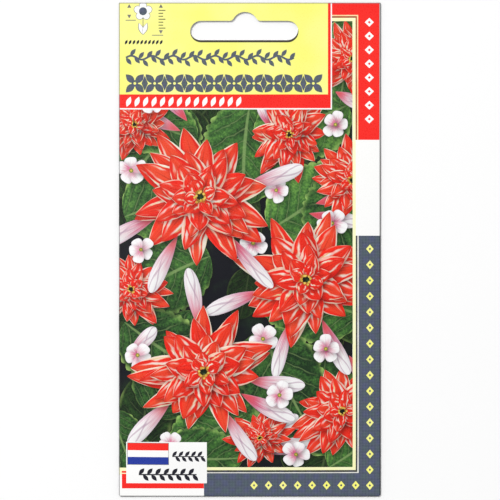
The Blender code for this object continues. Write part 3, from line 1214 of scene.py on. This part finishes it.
def ownShade(points, shape):  # the shape's dimness, and the side turned from the light a little darker
    along, across, _ = motifShares(shape["motif"], points).T
    side = np.clip(across / formWidth(shape["ink"], np.clip(along, 0.02, 0.98)), -1, 1)
    lit = np.dot(axes(shape["motif"]["angle"])[1], mesh["lightAway"])
    return shape["dim"] * (1 - mesh["keel"][shape["ink"]] * (0.5 - 0.5 * lit * side))


def cornerShade(places, corners, owners):  # its own shape's printed shade, the printed shadows from shapes above, and painted shade on the right and bottom folds
    points = places[corners].reshape(-1, 2)
    level = np.repeat(owners, 3)
    shade = np.ones(len(points))
    reach = mesh["shadowReach"]
    for number, shape in enumerate(shapes):
        if not shape["motif"]:
            continue
        own = level == number
        shade[own] *= ownShade(points[own], shape)
        outline = np.array(shape["outline"]) + mesh["shadowShift"]
        low, high = outline.min(0) - reach, outline.max(0) + reach
        near = (points > low).all(1) & (points < high).all(1) & (level < number)
        if near.any():
            away = outlineDistance(points[near], outline)
            lit = smooth((away + reach * mesh["shadowInside"]) / reach)
            shade[near] *= 1 - mesh["shadowDepth"] * (1 - lit)
    # painted shade: the right and bottom folds darkened into a dark line
    for past in (points[:, 0] - rightCrease, bottomCrease - points[:, 1] - mesh["bottomLag"]):
        turned = smooth(past / mesh["edgeShadeWidth"] + 0.5) * (past < wrapArc * mesh["foldEnd"])
        shade *= 1 - mesh["foldShade"] * turned
    return np.maximum(shade, mesh["darkest"])


def paintedEdgeShadeShares(places, corners):  # painted shade: how far the ink is darkened to grey, at the left fold and the top edge
    x, y = places[corners].reshape(-1, 2).T
    growth, start = mesh["leftEdgeShade"]
    past = leftCrease - x
    fold = smooth(growth * past / mesh["edgeShadeWidth"] + start) * (past < leftArc * mesh["foldEnd"])
    return np.maximum(fold, smooth((y - topEdge) / mesh["topEdgeShade"] + 1))


bake = {  # where each part of the packet lies in its own picture map: left, low and scale
    "front": (0.004, 0.004, 0.992 / packet["height"]),
    "back": (0.54, 0.005, 0.0031),
    "sideFlap": (0.8, 0.005, 0.0031),
    "bottomFlap": (0.54, 0.48, 0.0031),
    "bottomFlapDeep": 16.0,
    "lining": (0.6, 0.7, 0.2),
    "rim": ((0.86, 0.7), (0.9, 0.7), (0.9, 0.74), (0.86, 0.74)),
}


def bakeLayout(places, corners):
    x, y = places[corners].mean(1).T
    left, right, below = x < leftCrease, x > rightCrease, y < bottomCrease
    uv = np.zeros((len(corners), 3, 2))
    for part, picked, origin in (
        ("back", left, (backLeft, bottomCrease)),
        ("sideFlap", right, (rightCrease, bottomCrease)),
        ("bottomFlap", below, (leftCrease, bottomCrease - bake["bottomFlapDeep"])),
        ("front", ~(left | right | below), (leftCrease, bottomCrease)),
    ):
        *start, scale = bake[part]
        uv[picked] = (places[corners[picked]] - origin) * scale + start
    return uv.ravel()


def makeSheet():
    dropHidden()
    places, corners, owners = cutBlank()
    print("blank cut:", len(places), "points,", len(corners), "triangles")
    data = bpy.data.meshes.new("packetSheet")
    data.from_pydata((folded(*places.T) * mm).tolist(), [], corners.tolist())
    slots = [inkOrder.index(shapes[o]["ink"] if o >= 0 else "white") for o in owners]
    data.polygons.foreach_set("material_index", slots)
    shares = np.zeros((len(corners), 3, 3))
    for number, shape in enumerate(shapes):
        picked = owners == number
        if shape["motif"]:
            local = motifShares(shape["motif"], places[corners[picked]].reshape(-1, 2))
            shares[picked] = local.reshape(-1, 3, 3)
    for name, kind, field, values in (
        ("motif", "FLOAT_VECTOR", "vector", shares.ravel()),
        ("shade", "FLOAT", "value", cornerShade(places, corners, owners)),
        ("paintedEdgeShade", "FLOAT", "value", paintedEdgeShadeShares(places, corners)),
    ):
        data.attributes.new(name, kind, "CORNER").data.foreach_set(field, values)
    data.uv_layers.new(name="OFBake").data.foreach_set("uv", bakeLayout(places, corners))
    for name in inkOrder:
        data.materials.append(inks[name])
    sheet = addObject("packetSheet", data)
    paper = sheet.modifiers.new("paper", "SOLIDIFY")
    paper.thickness = packet["paper"] * mm
    paper.offset = 0
    paper.use_even_offset = True
    graph = bpy.context.evaluated_depsgraph_get()
    evaluated = sheet.evaluated_get(graph)
    solid = bpy.data.meshes.new_from_object(evaluated, preserve_all_data_layers=True, depsgraph=graph)
    sheet.modifiers.clear()
    sheet.data = solid
    finishFaces(solid, len(corners))
    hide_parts("packet_sheet")
    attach(sheet, "root")
    print("sheet folded:", len(solid.polygons), "faces")


def finishFaces(solid, outer):  # outer faces come first, then the inner ones, then the cut edges
    total = len(solid.polygons)
    slots = np.zeros(total, np.int32)
    solid.polygons.foreach_get("material_index", slots)
    slots[outer : 2 * outer] = inkOrder.index("lining")
    slots[2 * outer :] = inkOrder.index("edge")
    solid.polygons.foreach_set("material_index", slots)
    uv = np.zeros(len(solid.loops) * 2, np.float32)
    layer = solid.uv_layers["OFBake"].data
    layer.foreach_get("uv", uv)
    uv = uv.reshape(-1, 2)
    *start, scale = bake["lining"]
    uv[outer * 3 : outer * 6] = uv[outer * 3 : outer * 6] * scale + start
    uv[outer * 6 :] = np.tile(bake["rim"], (total - 2 * outer, 1))
    layer.foreach_set("uv", uv.ravel())
    solid.shade_smooth()
    solid.set_sharp_from_angle(angle=math.radians(mesh["sharpAngle"]))


# What the packet hides: glue films and seeds

glueLook = {
    "colours": (rgb(238, 234, 214), rgb(224, 214, 184)),
    "cloud": (0.5, 3.0),
    "roughness": (0.25, 0.2),
}
seedLook = {
    "colours": (rgb(58, 42, 32), rgb(28, 20, 16)),
    "cloud": (3.0, 5.0),
    "ease": (0.3, 0.7),
    "roughness": (0.45, 0.25),
    "bump": (0.3, 0.00005),
}


def dressHidden():
    glue, seed = plainCoat("glueFilm", glueLook), plainCoat("seedCoat", seedLook)
    for name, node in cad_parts.items():
        if name != "packet_sheet":
            node.data.materials.clear()
            node.data.materials.append(seed if name.startswith("seed") else glue)


def makeFloor():
    half = studio["floorSize"] / 2 * mm
    drop = -studio["floorDrop"] * mm
    data = bpy.data.meshes.new("floor")
    data.from_pydata([(x, y, drop) for x, y in box(-half, -half, half, half)], [], [(0, 1, 2, 3)])
    floor = addObject("floor", data)
    paint = newPaint("floorPaper")
    paint.set(Base_Color=rgb(252, 252, 252), Roughness=0.9)
    data.materials.append(paint.material)


makeCamera()
makeLights()
makeFloor()
makeSheet()
dressHidden()
print("pieces made")

bpy.context.view_layer.update()
